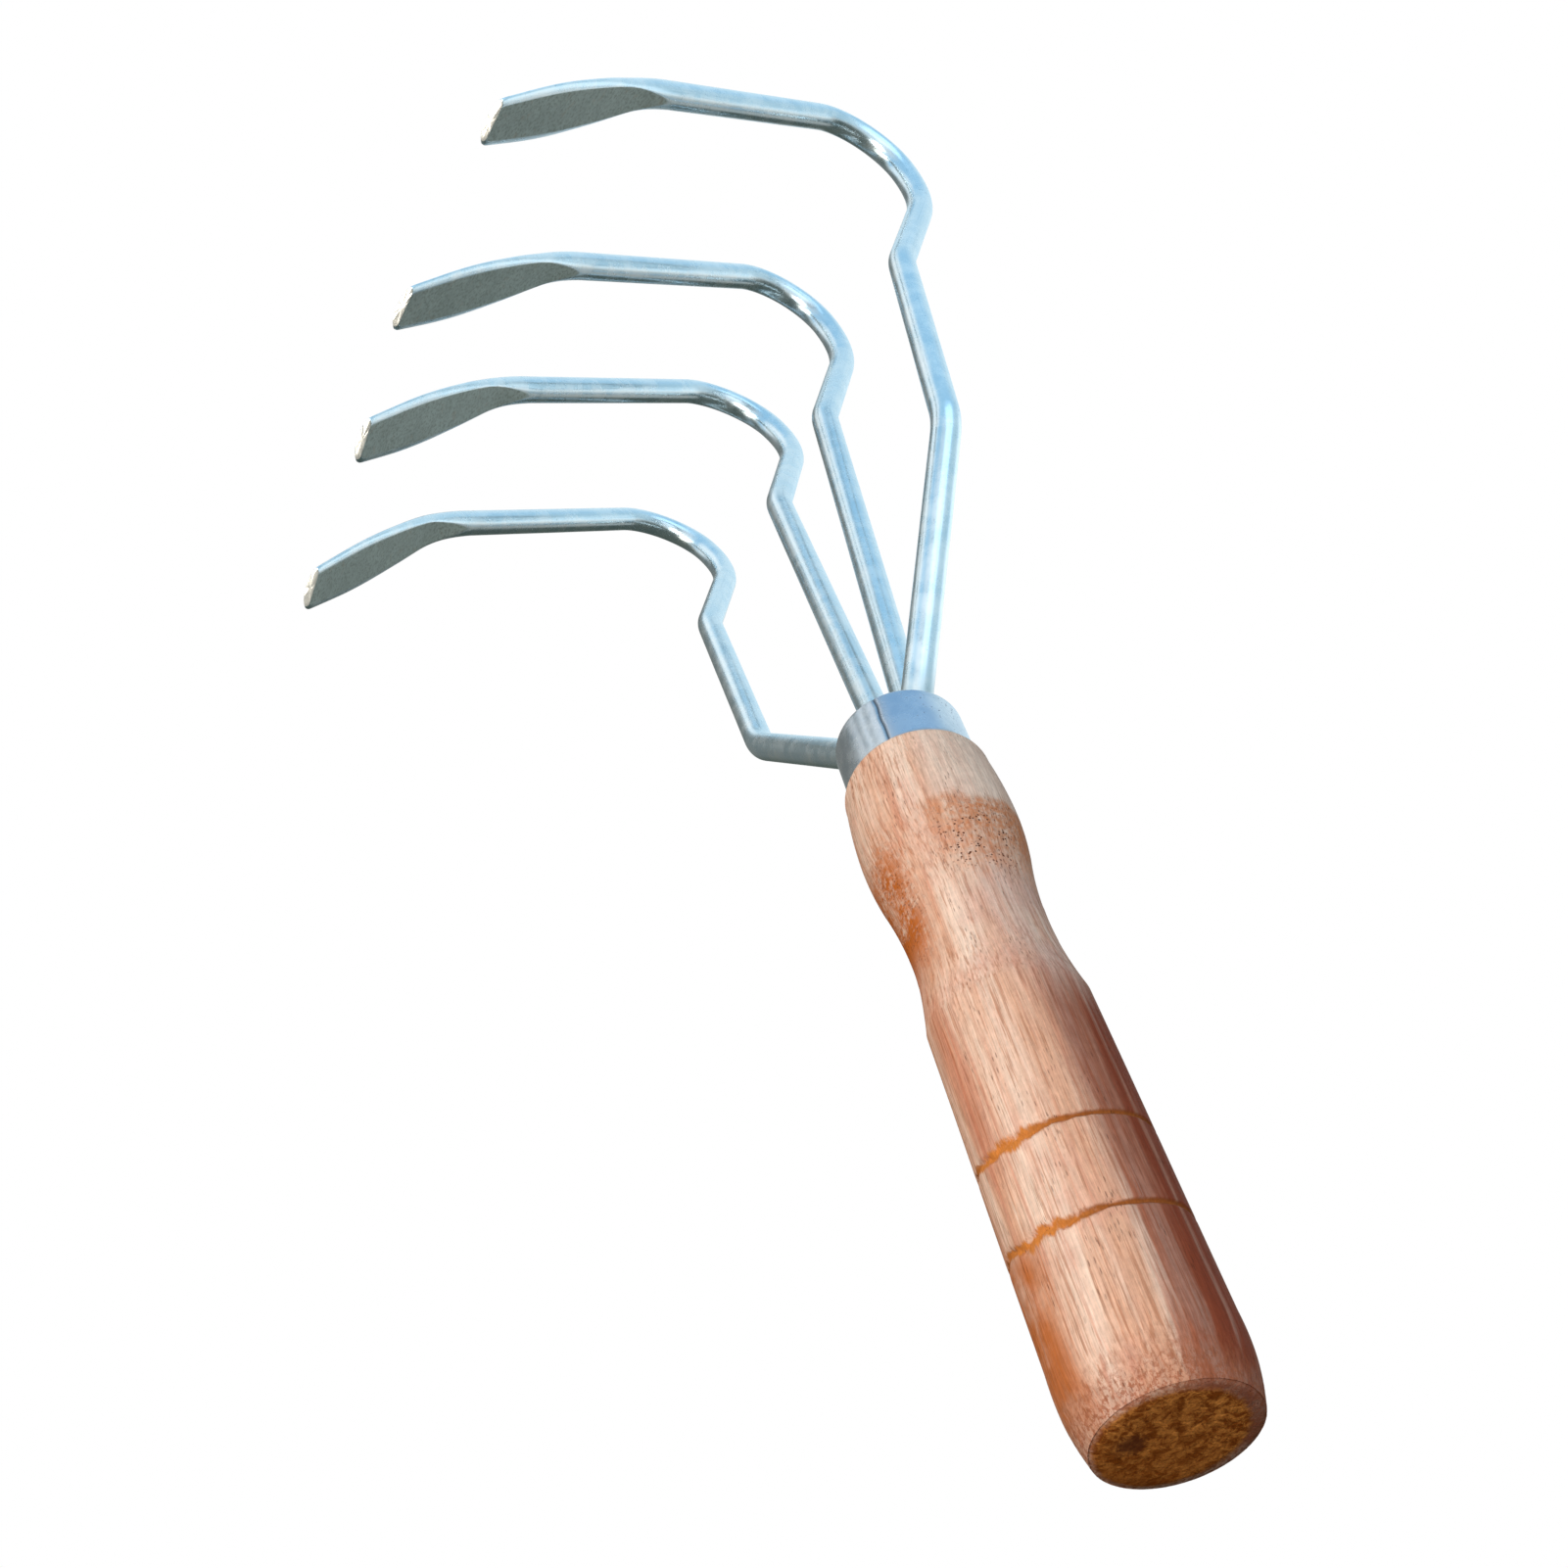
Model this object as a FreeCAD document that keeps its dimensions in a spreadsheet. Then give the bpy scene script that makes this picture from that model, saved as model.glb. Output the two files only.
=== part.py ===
import FreeCAD, Part
import os
import math
import Sketcher
from FreeCAD import Vector, Rotation, Placement

# Hand rake: a turned wooden handle, a steel ferrule and four wire tines with
# forged blades.  Frame: origin at the centre of the flat butt of the handle,
# +X along the handle towards the tines, +Y to the left, +Z up, so that the
# tines dig towards -Z.  Millimetres throughout.

doc = FreeCAD.newDocument("hand_rake")
sheet = doc.addObject("Spreadsheet::Sheet", "Sizes")

SIZES = [
    # handle, turned about the X axis
    ("handle_len", 128.3),        # butt to the shoulder behind the ferrule
    ("butt_flat_radius", 11.0),   # flat end face before its edge is eased
    ("butt_round_len", 12.0),
    ("barrel_radius", 12.7),
    ("barrel_end", 68.4),         # crisp step where the waist begins
    ("waist_radius", 11.2),
    ("waist_pos", 85.0),
    ("bulb_start", 102.5),
    ("bulb_pos", 114.0),
    ("bulb_radius", 13.75),
    ("neck_pos", 126.2),          # where the bulb rolls over towards the ferrule
    ("neck_radius", 13.05),
    ("neck_face_radius", 11.95),  # edge of the shoulder behind the ferrule
    ("tenon_len", 7.0),
    ("ring_front_pos", 40.6),
    ("ring_rear_pos", 25.5),
    ("ring_cut", 0.5),
    # ferrule
    ("ferrule_len", 13.05),
    ("ferrule_radius", 11.77),
    ("ferrule_wall", 1.2),
    ("ferrule_lip", 0.7),
    ("fit_gap", 0.05),
    # wire and tang
    ("wire_radius", 3.0),
    ("tang_start", 100.0),
    ("tang_side", 3.6),
    ("tang_height", 1.48),
    ("tang_bend", 139.3),
    # shared side shape of the hooks
    ("jog_angle", 17.76),
    ("jog_radius", 17.1),
    ("rise_len", 30.2),
    ("crown_angle", 39.7),
    ("crown_radius", 32.1),
    ("crook_angle", 108.0),
    ("crook_radius", 14.7),
    ("curl_radius", 57.0),
    ("blade_len", 54.1),
    # differences from tine to tine, as hand bent
    ("arm_outer_left", 53.4),
    ("arm_inner_left", 58.1),
    ("arm_inner_right", 57.0),
    ("arm_outer_right", 57.2),
    ("curl_outer_left", 16.7),
    ("curl_inner_left", 16.75),
    ("curl_inner_right", 19.7),
    ("curl_outer_right", 23.4),
    # where the hooks start, for the outer and the inner pair
    ("outer_x", 254.5),
    ("outer_y", 48.6),
    ("outer_z", 5.2),
    ("outer_yaw", 7.6),
    ("outer_pitch", 2.2),
    ("outer_roll", -2.9),
    ("outer_straight", 60.4),
    ("outer_bend_radius", 16.0),
    ("stub_x", 144.5),
    ("stub_y", 5.7),
    ("stub_z", 1.1),
    ("inner_x", 250.0),
    ("inner_y", 11.4),
    ("inner_z", 4.55),
    ("inner_roll", -2.5),
    # forged blade, half sizes at five stations
    ("blade_width_a", 3.6),
    ("blade_width_b", 5.35),
    ("blade_width_c", 6.15),
    ("blade_width_tip", 5.1),
    ("blade_thick_a", 2.55),
    ("blade_thick_b", 1.85),
    ("blade_thick_c", 1.4),
    ("blade_thick_tip", 1.15),
    ("tip_bevel", 38.0),
    # weld bead that ties the four roots together in the ferrule mouth
    ("weld_x", 142.6),
    ("weld_z", 1.2),
    ("weld_half_len", 4.6),
    ("weld_half_width", 8.6),
    ("weld_half_height", 5.2),
]
for row, (alias, value) in enumerate(SIZES, start=1):
    sheet.set("A%d" % row, alias)
    sheet.set("B%d" % row, "%g" % value)
    sheet.setAlias("B%d" % row, alias)
doc.recompute()


def val(alias):
    return float(getattr(sheet, alias))


def bind(obj, prop, text):
    obj.setExpression(prop, text)


def plane(body, role):
    for feature in body.Origin.OriginFeatures:
        if feature.Role == role:
            return feature
    raise RuntimeError("no plane " + role)


def new_sketch(body, name, role):
    sketch = body.newObject("Sketcher::SketchObject", name)
    sketch.AttachmentSupport = [(plane(body, role), "")]
    sketch.MapMode = "FlatFace"
    return sketch


def dim(sketch, name, constraint, text=None):
    index = sketch.addConstraint(constraint)
    sketch.renameConstraint(index, name)
    if text:
        bind(sketch, "Constraints." + name, text)
    return index


def spot(sketch, name, geo, pos, x_text, y_text, x, y):
    """Pin a point of the sketch at two bound distances from the origin."""
    dim(sketch, name + "_x", Sketcher.Constraint("DistanceX", -1, 1, geo, pos, x), x_text)
    dim(sketch, name + "_y", Sketcher.Constraint("DistanceY", -1, 1, geo, pos, y), y_text)


# ---------------------------------------------------------------- handle
handle_body = doc.addObject("PartDesign::Body", "HandleBody")
outline = new_sketch(handle_body, "HandleOutline", "XZ_Plane")
L = val("handle_len")
rb, rw, ru, rn = val("barrel_radius"), val("waist_radius"), val("bulb_radius"), val("neck_radius")
rf = val("butt_flat_radius")
xr, xe, xw = val("butt_round_len"), val("barrel_end"), val("waist_pos")
xs, xu = val("bulb_start"), val("bulb_pos")
rt = val("ferrule_radius") - val("ferrule_wall") - val("fit_gap")
xt = L + val("tenon_len")
# radius where the waist hands over to the bulb
R_waist = ((xe - xw) ** 2 + (rb - rw) ** 2) / (2 * (rb - rw))
rs = rw + R_waist - math.sqrt(R_waist ** 2 - (xs - xw) ** 2)


def arc3(a, b, c):
    return Part.Arc(Vector(a[0], a[1], 0), Vector(b[0], b[1], 0), Vector(c[0], c[1], 0))


def seg(a, b):
    return Part.LineSegment(Vector(a[0], a[1], 0), Vector(b[0], b[1], 0))


def bulge(a, b, rise):
    """Middle point of a shallow arc over the chord a-b."""
    mx, my = (a[0] + b[0]) / 2, (a[1] + b[1]) / 2
    dx, dy = b[0] - a[0], b[1] - a[1]
    n = math.hypot(dx, dy)
    return (mx - dy / n * rise, my + dx / n * rise)


P_axis0, P_flat, P_round = (0, 0), (0, rf), (xr, rb)
P_step, P_hand, P_top, P_neck = (xe, rb), (xs, rs), (xu, ru), (val("neck_pos"), rn)
P_lip = (L, val("neck_face_radius"))
P_foot, P_tenon, P_axis1 = (L, rt), (xt, rt), (xt, 0)
g = [
    seg(P_axis0, P_flat),                                        # 0 flat butt
    arc3(P_flat, bulge(P_flat, P_round, 0.6), P_round),          # 1 rounded end
    seg(P_round, P_step),                                        # 2 barrel
    arc3(P_step, (xw, rw), P_hand),                              # 3 waist
    arc3(P_hand, bulge(P_hand, P_top, 0.245), P_top),            # 4 bulb, rising
    arc3(P_top, bulge(P_top, P_neck, 0.15), P_neck),             # 5 bulb, falling
    arc3(P_neck, bulge(P_neck, P_lip, 0.45), P_lip),             # 6 rounded edge
    seg(P_lip, P_foot),                                          # 7 shoulder
    seg(P_foot, P_tenon),                                        # 8 tenon
    seg(P_tenon, P_axis1),                                       # 9 tenon end
    seg(P_axis1, P_axis0),                                       # 10 axis
]
outline.addGeometry(g, False)


def ends(i):
    """Sketch point numbers of the start and end of piece i, along the outline."""
    geo = outline.Geometry[i]
    if isinstance(geo, Part.ArcOfCircle) and geo.Axis.z < 0:
        return (2, 1)
    return (1, 2)


for i in range(11):
    j = (i + 1) % 11
    outline.addConstraint(Sketcher.Constraint("Coincident", i, ends(i)[1], j, ends(j)[0]))
outline.addConstraint(Sketcher.Constraint("Coincident", 0, 1, -1, 1))
outline.addConstraint(Sketcher.Constraint("Vertical", 0))
dim(outline, "flat", Sketcher.Constraint("DistanceY", 0, 1, 0, 2, rf), "Sizes.butt_flat_radius")
spot(outline, "round", 2, 1, "Sizes.butt_round_len", "Sizes.barrel_radius", xr, rb)
spot(outline, "step", 2, 2, "Sizes.barrel_end", "Sizes.barrel_radius", xe, rb)
dim(outline, "flat_arc", Sketcher.Constraint("Radius", 1, outline.Geometry[1].Radius))
dim(outline, "waist_arc", Sketcher.Constraint("Radius", 3, R_waist),
    "((Sizes.barrel_end - Sizes.waist_pos)^2 + (Sizes.barrel_radius - Sizes.waist_radius)^2)"
    " / (2 * (Sizes.barrel_radius - Sizes.waist_radius))")
spot(outline, "hand", 4, ends(4)[0], "Sizes.bulb_start", None, xs, rs)
spot(outline, "top", 5, ends(5)[0], "Sizes.bulb_pos", "Sizes.bulb_radius", xu, ru)
spot(outline, "neck", 6, ends(6)[0], "Sizes.neck_pos", "Sizes.neck_radius", P_neck[0], rn)
spot(outline, "lip", 7, 1, "Sizes.handle_len", "Sizes.neck_face_radius", L, P_lip[1])
dim(outline, "rise_arc", Sketcher.Constraint("Radius", 4, outline.Geometry[4].Radius))
dim(outline, "fall_arc", Sketcher.Constraint("Radius", 5, outline.Geometry[5].Radius))
dim(outline, "edge_arc", Sketcher.Constraint("Radius", 6, outline.Geometry[6].Radius))
spot(outline, "foot", 8, 1, "Sizes.handle_len",
     "Sizes.ferrule_radius - Sizes.ferrule_wall - Sizes.fit_gap", L, rt)
outline.addConstraint(Sketcher.Constraint("Horizontal", 8))
dim(outline, "tenon", Sketcher.Constraint("DistanceX", 8, 1, 8, 2, xt - L), "Sizes.tenon_len")
outline.addConstraint(Sketcher.Constraint("Vertical", 9))
outline.addConstraint(Sketcher.Constraint("PointOnObject", 10, 1, -1))

turned = handle_body.newObject("PartDesign::Revolution", "Turned")
turned.Profile = outline
turned.ReferenceAxis = (outline, ["H_Axis"])
turned.Angle = 360.0
doc.recompute()

# two scorched ring grooves round the barrel
ring_sketch = new_sketch(handle_body, "RingProfiles", "XZ_Plane")
for k, alias in enumerate(("ring_front_pos", "ring_rear_pos")):
    ring_sketch.addGeometry(Part.Circle(Vector(val(alias), rb, 0), Vector(0, 0, 1), val("ring_cut")), False)
    dim(ring_sketch, "cut_%d" % k, Sketcher.Constraint("Radius", k, val("ring_cut")), "Sizes.ring_cut")
    spot(ring_sketch, "ring_%d" % k, k, 3, "Sizes." + alias, "Sizes.barrel_radius", val(alias), rb)
rings = handle_body.newObject("PartDesign::Groove", "RingGrooves")
rings.Profile = ring_sketch
rings.ReferenceAxis = (ring_sketch, ["H_Axis"])
rings.Angle = 360.0
doc.recompute()


def frame(origin, ax, side):
    """Placement with local X along ax, local Y nearest to side."""
    ax = Vector(ax)
    ax.normalize()
    zed = ax.cross(Vector(side))
    zed.normalize()
    why = zed.cross(ax)
    m = FreeCAD.Matrix(ax.x, why.x, zed.x, origin.x, ax.y, why.y, zed.y, origin.y,
                       ax.z, why.z, zed.z, origin.z, 0, 0, 0, 1)
    return Placement(m)


def rod(name, start, end, radius_text="Sizes.wire_radius"):
    cyl = doc.addObject("Part::Cylinder", name)
    bind(cyl, "Radius", radius_text)
    cyl.Height = (end - start).Length
    cyl.Placement = Placement(start, Rotation(Vector(0, 0, 1), end - start))
    return cyl


# bores cut as two straight rods through the tenon
ts, th = val("tang_side"), val("tang_height")
bore_tools = []
for label, side in (("BoreLeft", 1), ("BoreRight", -1)):
    tool = rod(label, Vector(val("tang_start"), side * ts, th), Vector(xt + 5, side * ts, th),
               "Sizes.wire_radius + Sizes.fit_gap")
    bore_tools.append(tool)
bore_pair = doc.addObject("Part::MultiFuse", "BorePair")
bore_pair.Shapes = bore_tools
handle = doc.addObject("Part::Cut", "HandleCut")
handle.Base = handle_body
handle.Tool = bore_pair
handle.Label = "handle"
doc.recompute()

# ---------------------------------------------------------------- ferrule
ferrule = doc.addObject("PartDesign::Body", "FerruleBody")
ferrule.Label = "ferrule"
wall = new_sketch(ferrule, "FerruleSection", "XZ_Plane")
fr, fw, fl = val("ferrule_radius"), val("ferrule_wall"), val("ferrule_len")
corners = [(L, fr - fw), (L, fr), (L + fl, fr), (L + fl, fr - fw)]
wall.addGeometry([seg(corners[i], corners[(i + 1) % 4]) for i in range(4)], False)
for i in range(4):
    wall.addConstraint(Sketcher.Constraint("Coincident", i, 2, (i + 1) % 4, 1))
for i, kind in enumerate(("Vertical", "Horizontal", "Vertical", "Horizontal")):
    wall.addConstraint(Sketcher.Constraint(kind, i))
spot(wall, "inner", 0, 1, "Sizes.handle_len", "Sizes.ferrule_radius - Sizes.ferrule_wall", L, fr - fw)
dim(wall, "thick", Sketcher.Constraint("DistanceY", 0, 1, 0, 2, fw), "Sizes.ferrule_wall")
dim(wall, "long", Sketcher.Constraint("DistanceX", 1, 1, 1, 2, fl), "Sizes.ferrule_len")
tube = ferrule.newObject("PartDesign::Revolution", "Tube")
tube.Profile = wall
tube.ReferenceAxis = (wall, ["H_Axis"])
tube.Angle = 360.0
doc.recompute()
lip_edge = [n for n, e in enumerate(tube.Shape.Edges, 1)
            if abs(e.CenterOfMass.x - (L + fl)) < 0.01 and abs(getattr(e.Curve, "Radius", 0) - fr) < 0.01]
lip = ferrule.newObject("PartDesign::Fillet", "Lip")
lip.Base = (tube, ["Edge%d" % n for n in lip_edge])
bind(lip, "Radius", "Sizes.ferrule_lip")
ferrule.Tip = lip
doc.recompute()


# ---------------------------------------------------------------- tines
def turtle(moves):
    """Walk a chain of ('line', length) and ('arc', signed degrees, radius) moves."""
    pos, head, out = Vector(0, 0, 0), 0.0, []
    for move in moves:
        if move[0] == "line":
            end = pos + Vector(math.cos(head), math.sin(head), 0) * move[1]
            out.append(("line", pos, end))
        else:
            turn, rad = math.radians(move[1]), move[2]
            s = 1 if turn > 0 else -1
            centre = pos + Vector(-math.sin(head), math.cos(head), 0) * rad * s
            mid_h, end_h = head + turn / 2, head + turn
            mid = centre - Vector(-math.sin(mid_h), math.cos(mid_h), 0) * rad * s
            end = centre - Vector(-math.sin(end_h), math.cos(end_h), 0) * rad * s
            out.append(("arc", pos, mid, end, s))
            head = end_h
        pos = out[-1][-2] if out[-1][0] == "arc" else out[-1][-1]
    return out, pos, head


def path_body(name, moves, texts, placement):
    """A round wire swept along a planar chain of lines and arcs in the body's XZ plane."""
    body = doc.addObject("PartDesign::Body", name)
    path = new_sketch(body, name + "Path", "XZ_Plane")
    chain, end, head = turtle(moves)
    tips = []
    for k, step in enumerate(chain):
        if step[0] == "line":
            path.addGeometry(Part.LineSegment(step[1], step[2]), False)
            tips.append((1, 2))
        else:
            path.addGeometry(Part.Arc(step[1], step[2], step[3]), False)
            tips.append((1, 2) if step[4] > 0 else (2, 1))
    path.addConstraint(Sketcher.Constraint("Coincident", 0, 1, -1, 1))
    path.addConstraint(Sketcher.Constraint("Horizontal", 0))
    for k in range(len(chain) - 1):
        path.addConstraint(Sketcher.Constraint("Tangent", k, tips[k][1], k + 1, tips[k + 1][0]))
    for k, (move, text) in enumerate(zip(moves, texts)):
        if move[0] == "line":
            dim(path, "run_%d" % k, Sketcher.Constraint("Distance", k, move[1]), text)
        else:
            dim(path, "radius_%d" % k, Sketcher.Constraint("Radius", k, move[2]), text[1])
            dim(path, "sweep_%d" % k, Sketcher.Constraint("Angle", k, math.radians(abs(move[1]))), text[0])
    ring = new_sketch(body, name + "Ring", "YZ_Plane")
    ring.addGeometry(Part.Circle(Vector(0, 0, 0), Vector(0, 0, 1), val("wire_radius")), False)
    ring.addConstraint(Sketcher.Constraint("Coincident", 0, 3, -1, 1))
    dim(ring, "wire", Sketcher.Constraint("Radius", 0, val("wire_radius")), "Sizes.wire_radius")
    doc.recompute()
    pipe = body.newObject("PartDesign::AdditivePipe", name + "Pipe")
    pipe.Profile = ring
    pipe.Spine = (path, ["Edge%d" % (k + 1) for k in range(len(chain))])
    pipe.Mode = "Standard"
    body.Placement = placement
    doc.recompute()
    return body, end, head


def blade_loft(name, place, end, head, curl_deg):
    """Forged blade: oval sections along the curled path, flattening towards the tip."""
    curl, rad = math.radians(curl_deg), val("curl_radius")
    total = curl * rad + val("blade_len")
    sections = [(0.0, "Sizes.wire_radius", "Sizes.wire_radius"),
                (0.18, "Sizes.blade_width_a", "Sizes.blade_thick_a"),
                (0.42, "Sizes.blade_width_b", "Sizes.blade_thick_b"),
                (0.70, "Sizes.blade_width_c", "Sizes.blade_thick_c"),
                (1.0, "Sizes.blade_width_tip", "Sizes.blade_thick_tip")]
    rings_ = []
    for k, (u, wide, thick) in enumerate(sections):
        go = u * total
        if go <= curl * rad:
            chain, pos, h = turtle([("arc", -math.degrees(go / rad), rad)]) if go > 0 else (None, Vector(0, 0, 0), 0.0)
        else:
            chain, pos, h = turtle([("arc", -curl_deg, rad), ("line", go - curl * rad)])
        c, s = math.cos(head), math.sin(head)
        x = end.x + pos.x * c - pos.y * s
        z = end.y + pos.x * s + pos.y * c
        ang = head + h
        ell = doc.addObject("Part::Ellipse", "%sSection%d" % (name, k))
        bind(ell, "MajorRadius", wide)
        bind(ell, "MinorRadius", thick)
        along = Vector(math.cos(ang), 0, math.sin(ang))
        wide_dir = Vector(0, 1, 0)
        thick_dir = along.cross(wide_dir)
        m = FreeCAD.Matrix(wide_dir.x, thick_dir.x, along.x, x, wide_dir.y, thick_dir.y, along.y, 0,
                           wide_dir.z, thick_dir.z, along.z, z, 0, 0, 0, 1)
        ell.Placement = place.multiply(Placement(m))
        rings_.append(ell)
    loft = doc.addObject("Part::Loft", name + "Loft")
    loft.Sections = rings_
    loft.Solid = True
    loft.Ruled = False
    # bevelled tip: a block turned about the width of the blade takes off the back corner
    block = doc.addObject("Part::Box", name + "Bevel")
    block.Length, block.Width, block.Height = 14, 16, 14
    # local block frame: x along the blade, z through its thickness
    tip_frame = Placement(FreeCAD.Matrix(along.x, 0, thick_dir.x, x, along.y, 1, thick_dir.y, 0,
                                         along.z, 0, thick_dir.z, z, 0, 0, 0, 1))
    shift = Placement(Vector(-0.2, -8, 1.25), Rotation(Vector(0, 1, 0), val("tip_bevel")))
    block.Placement = place.multiply(tip_frame).multiply(shift)
    cut = doc.addObject("Part::Cut", name)
    cut.Base = loft
    cut.Tool = block
    doc.recompute()
    return cut


def hook_moves(straight, arm):
    return [("line", straight), ("arc", val("jog_angle"), val("jog_radius")), ("line", val("rise_len")),
            ("arc", -val("crown_angle"), val("crown_radius")),
            ("arc", -val("crook_angle"), val("crook_radius")), ("line", arm)]


def hook_texts(straight_text, arm_alias):
    return [straight_text, ("Sizes.jog_angle", "Sizes.jog_radius"), "Sizes.rise_len",
            ("Sizes.crown_angle", "Sizes.crown_radius"), ("Sizes.crook_angle", "Sizes.crook_radius"),
            "Sizes." + arm_alias]


def rolled(direction, roll_deg, side):
    """Sideways vector of a hook whose plane leans by roll about its own run."""
    a = Vector(direction)
    a.normalize()
    b = Vector(-a.y, a.x, 0)
    b.normalize()
    z = a.cross(b)
    roll = math.radians(roll_deg) * side
    return b * math.cos(roll) - z * math.sin(roll)


parts = {}
inner_wires = {}
for word, side in (("left", 1), ("right", -1)):
    # inner tine: tang in the handle, a slight bend in the ferrule, then straight to the hook
    bend = Vector(val("tang_bend"), side * ts, th)
    hook = Vector(val("inner_x"), side * val("inner_y"), val("inner_z"))
    run = hook - bend
    sideways = rolled(run, val("inner_roll"), side)
    place = frame(bend, run, sideways)
    arm_alias, curl_alias = "arm_inner_" + word, "curl_inner_" + word
    name = "Inner" + word.capitalize()
    wire, end, head = path_body(name + "Wire", hook_moves(run.Length, val(arm_alias)),
                                hook_texts(None, arm_alias), place)
    blade = blade_loft(name + "Blade", place, end, head, val(curl_alias))
    tang = rod(name + "Tang", Vector(val("tang_start"), side * ts, th), bend)
    knuckle = doc.addObject("Part::Sphere", name + "Knuckle")
    bind(knuckle, "Radius", "Sizes.wire_radius")
    knuckle.Placement = Placement(bend, Rotation())
    tine = doc.addObject("Part::MultiFuse", name)
    tine.Shapes = [wire, blade, tang, knuckle]
    tine.Label = "tine_inner_" + word
    doc.recompute()
    parts[tine.Label] = tine
    inner_wires[word] = tine

for word, side in (("left", 1), ("right", -1)):
    # outer tine: a short stub leaves the weld, bends forward and runs straight to the hook
    yaw, pitch = math.radians(val("outer_yaw")), math.radians(val("outer_pitch"))
    ahead = Vector(math.cos(pitch) * math.cos(yaw), side * math.cos(pitch) * math.sin(yaw), math.sin(pitch))
    hook = Vector(val("outer_x"), side * val("outer_y"), val("outer_z"))
    corner = hook - ahead * val("outer_straight")
    foot = Vector(val("stub_x"), side * val("stub_y"), val("stub_z"))
    stub_dir = corner - foot
    turn = stub_dir.getAngle(ahead)
    ease = val("outer_bend_radius") * math.tan(turn / 2)
    name = "Outer" + word.capitalize()
    # root piece: stub and bend, in the plane that holds both directions
    normal = stub_dir.cross(ahead)
    root_place = frame(foot, stub_dir, normal * -1)
    root, r_end, r_head = path_body(
        name + "Root", [("line", stub_dir.Length - ease), ("arc", math.degrees(turn), val("outer_bend_radius"))],
        [None, (None, "Sizes.outer_bend_radius")], root_place)
    start = corner + ahead * ease
    place = frame(start, ahead, rolled(ahead, val("outer_roll"), side))
    arm_alias, curl_alias = "arm_outer_" + word, "curl_outer_" + word
    wire, end, head = path_body(name + "Wire", hook_moves(val("outer_straight") - ease, val(arm_alias)),
                                hook_texts(None, arm_alias), place)
    blade = blade_loft(name + "Blade", place, end, head, val(curl_alias))
    whole = doc.addObject("Part::MultiFuse", name + "Whole")
    whole.Shapes = [root, wire, blade]
    # the stub is coped to sit against the inner tine it is welded to
    tine = doc.addObject("Part::Cut", name)
    tine.Base = whole
    tine.Tool = inner_wires[word]
    tine.Label = "tine_outer_" + word
    doc.recompute()
    parts[tine.Label] = tine

# ---------------------------------------------------------------- weld
bead = doc.addObject("Part::Ellipsoid", "Bead")
bind(bead, "Radius1", "Sizes.weld_half_height")
bind(bead, "Radius2", "Sizes.weld_half_len")
bind(bead, "Radius3", "Sizes.weld_half_width")
bead.Placement = Placement(Vector(val("weld_x"), 0, val("weld_z")), Rotation())
roots = doc.addObject("Part::MultiFuse", "RootsInWeld")
roots.Shapes = list(parts.values())
weld = doc.addObject("Part::Cut", "Weld")
weld.Base = bead
weld.Tool = roots
weld.Label = "root_weld"
doc.recompute()

parts["handle"] = handle
parts["ferrule"] = ferrule
parts["root_weld"] = weld

bad = [o.Name for o in doc.Objects if "Invalid" in o.State or "Error" in o.State]
if bad:
    raise RuntimeError("failed objects: " + ", ".join(bad))
for label, obj in parts.items():
    if obj.Shape.isNull() or not obj.Shape.isValid():
        raise RuntimeError(label + " has no valid shape")
    print(label, "solids", len(obj.Shape.Solids), "volume", round(obj.Shape.Volume, 1))

os.makedirs("parts", exist_ok=True)
for label, obj in sorted(parts.items()):
    obj.Shape.exportStep(os.path.join("parts", label + ".step"))
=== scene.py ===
import math

import bmesh
import bpy
from mathutils import Matrix, Vector, noise


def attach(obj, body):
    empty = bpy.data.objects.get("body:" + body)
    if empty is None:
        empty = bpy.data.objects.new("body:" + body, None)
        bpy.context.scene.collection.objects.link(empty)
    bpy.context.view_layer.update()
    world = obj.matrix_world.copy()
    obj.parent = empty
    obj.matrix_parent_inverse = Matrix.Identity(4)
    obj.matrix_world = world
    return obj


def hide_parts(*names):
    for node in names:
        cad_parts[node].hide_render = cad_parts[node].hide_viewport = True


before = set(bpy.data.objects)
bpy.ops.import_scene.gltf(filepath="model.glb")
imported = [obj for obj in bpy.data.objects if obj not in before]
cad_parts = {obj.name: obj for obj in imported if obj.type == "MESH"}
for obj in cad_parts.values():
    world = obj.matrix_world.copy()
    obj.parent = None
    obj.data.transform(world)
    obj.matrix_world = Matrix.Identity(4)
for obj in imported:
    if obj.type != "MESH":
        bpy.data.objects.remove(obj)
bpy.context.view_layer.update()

# Hand rake: turned wooden handle, steel ferrule, four plated wire tines with
# forged blades, and the weld that ties their roots together.  +X runs along the
# handle to the tines, +Y is left and +Z up.  The scene is in metres; the pieces are
# worked in millimetres and link_piece scales them.

MM = 0.001

# ------------------------------------------------------------------ sizes, mm
# handle: R, BUTT_FLAT and NECK_FACE are radii; X, START, END, BUTT_ROUND, BUTT_EDGE
# and RINGS are places along it, measured from the butt face
HANDLE_LEN = 128.3
BUTT_FLAT, BUTT_ROUND = 11.0, 12.0      # size of the flat end, where its rounding stops
FACE_DROP, FACE_LEVEL_R, FACE_SLOPE = 0.38, 9.2, 1.8    # the face falls back towards its rim
BARREL_R, BARREL_END = 12.7, 68.4
WAIST_R, WAIST_X = 11.2, 85.0
BULB_START, BULB_X, BULB_R = 102.5, 114.0, 13.75
NECK_X, NECK_R, NECK_FACE = 126.2, 13.05, 11.95
TENON_LEN = 7.0
RINGS = (40.6, 25.5)
RING_WIDTH, RING_DEPTH = 0.48, 0.42     # before their unevenness
BUTT_EDGE = 0.3                         # the butt face and its broken edge lie before this
ROUGH_END, ROUGH, HAND_TURNED = 5.0, 0.07, 0.10     # rough end grain, uneven turned surface
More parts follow.
